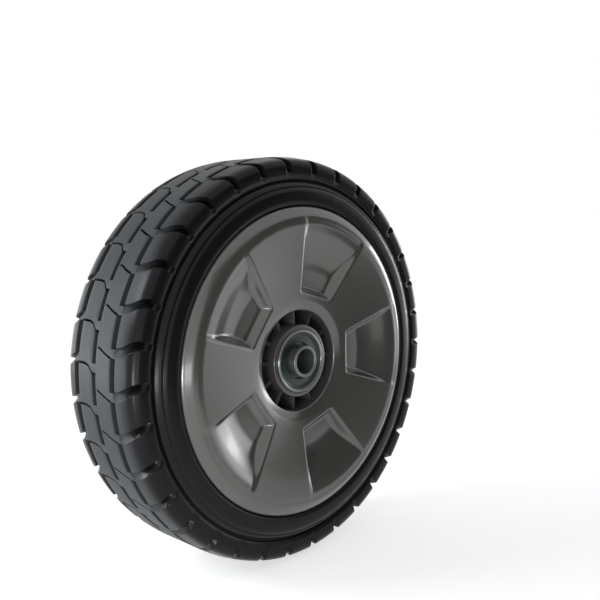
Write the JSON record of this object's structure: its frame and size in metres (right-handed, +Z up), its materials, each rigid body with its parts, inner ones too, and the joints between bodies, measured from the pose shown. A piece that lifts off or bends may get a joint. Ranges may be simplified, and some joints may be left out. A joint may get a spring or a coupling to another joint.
{
  "type": "lawn mower wheel",
  "caption": "Lawn mower wheel with a solid rubber block-tread tyre on a ribbed moulded rim that spins on ball bearings round an axle bore.",
  "frame": {"origin": "centre of the wheel on its axle, midway across the tread", "axes": "Y along the axle with the pocketed front face towards -Y, Z up, X across"},
  "size_m": [0.2032, 0.0615, 0.2032],
  "materials": {
    "tyre": "satin black rubber",
    "rim": "glossy warm grey moulding",
    "plated_steel": "bright zinc plate",
    "ball_steel": "polished",
    "plain_steel": "drawn tube"
  },
  "bodies": {
    "axle_core": {"front_inner_race": "plated_steel", "rear_inner_race": "plated_steel", "spacer_tube": "plain_steel"},
    "wheel": {"tyre": "tyre", "rim": "rim", "front_bearing_cup": "plated_steel", "front_bearing_cover": "plated_steel", "rear_bearing_cup": "plated_steel", "rear_bearing_cover": "plated_steel"},
    "front_balls": {"front_ball_01": "ball_steel", "front_ball_02": "ball_steel", "front_ball_03": "ball_steel", "front_ball_04": "ball_steel", "front_ball_05": "ball_steel", "front_ball_06": "ball_steel", "front_ball_07": "ball_steel", "front_ball_08": "ball_steel", "front_ball_09": "ball_steel", "front_ball_10": "ball_steel"},
    "rear_balls": {"rear_ball_01": "ball_steel", "rear_ball_02": "ball_steel", "rear_ball_03": "ball_steel", "rear_ball_04": "ball_steel", "rear_ball_05": "ball_steel", "rear_ball_06": "ball_steel", "rear_ball_07": "ball_steel", "rear_ball_08": "ball_steel", "rear_ball_09": "ball_steel", "rear_ball_10": "ball_steel"}
  },
  "joints": [
    {"name": "wheel_spin", "type": "hinge", "parent": "axle_core", "child": "wheel", "pos_m": [0, 0, 0], "axis": [0, 1, 0], "continuous": true},
    {"name": "front_balls_spin", "type": "hinge", "parent": "axle_core", "child": "front_balls", "pos_m": [0, 0, 0], "axis": [0, 1, 0], "continuous": true},
    {"name": "rear_balls_spin", "type": "hinge", "parent": "axle_core", "child": "rear_balls", "pos_m": [0, 0, 0], "axis": [0, 1, 0], "continuous": true}
  ],
  "couplings": [
    {"joint": "front_balls_spin", "follows": "wheel_spin", "ratio": 0.643},
    {"joint": "rear_balls_spin", "follows": "wheel_spin", "ratio": 0.643}
  ]
}
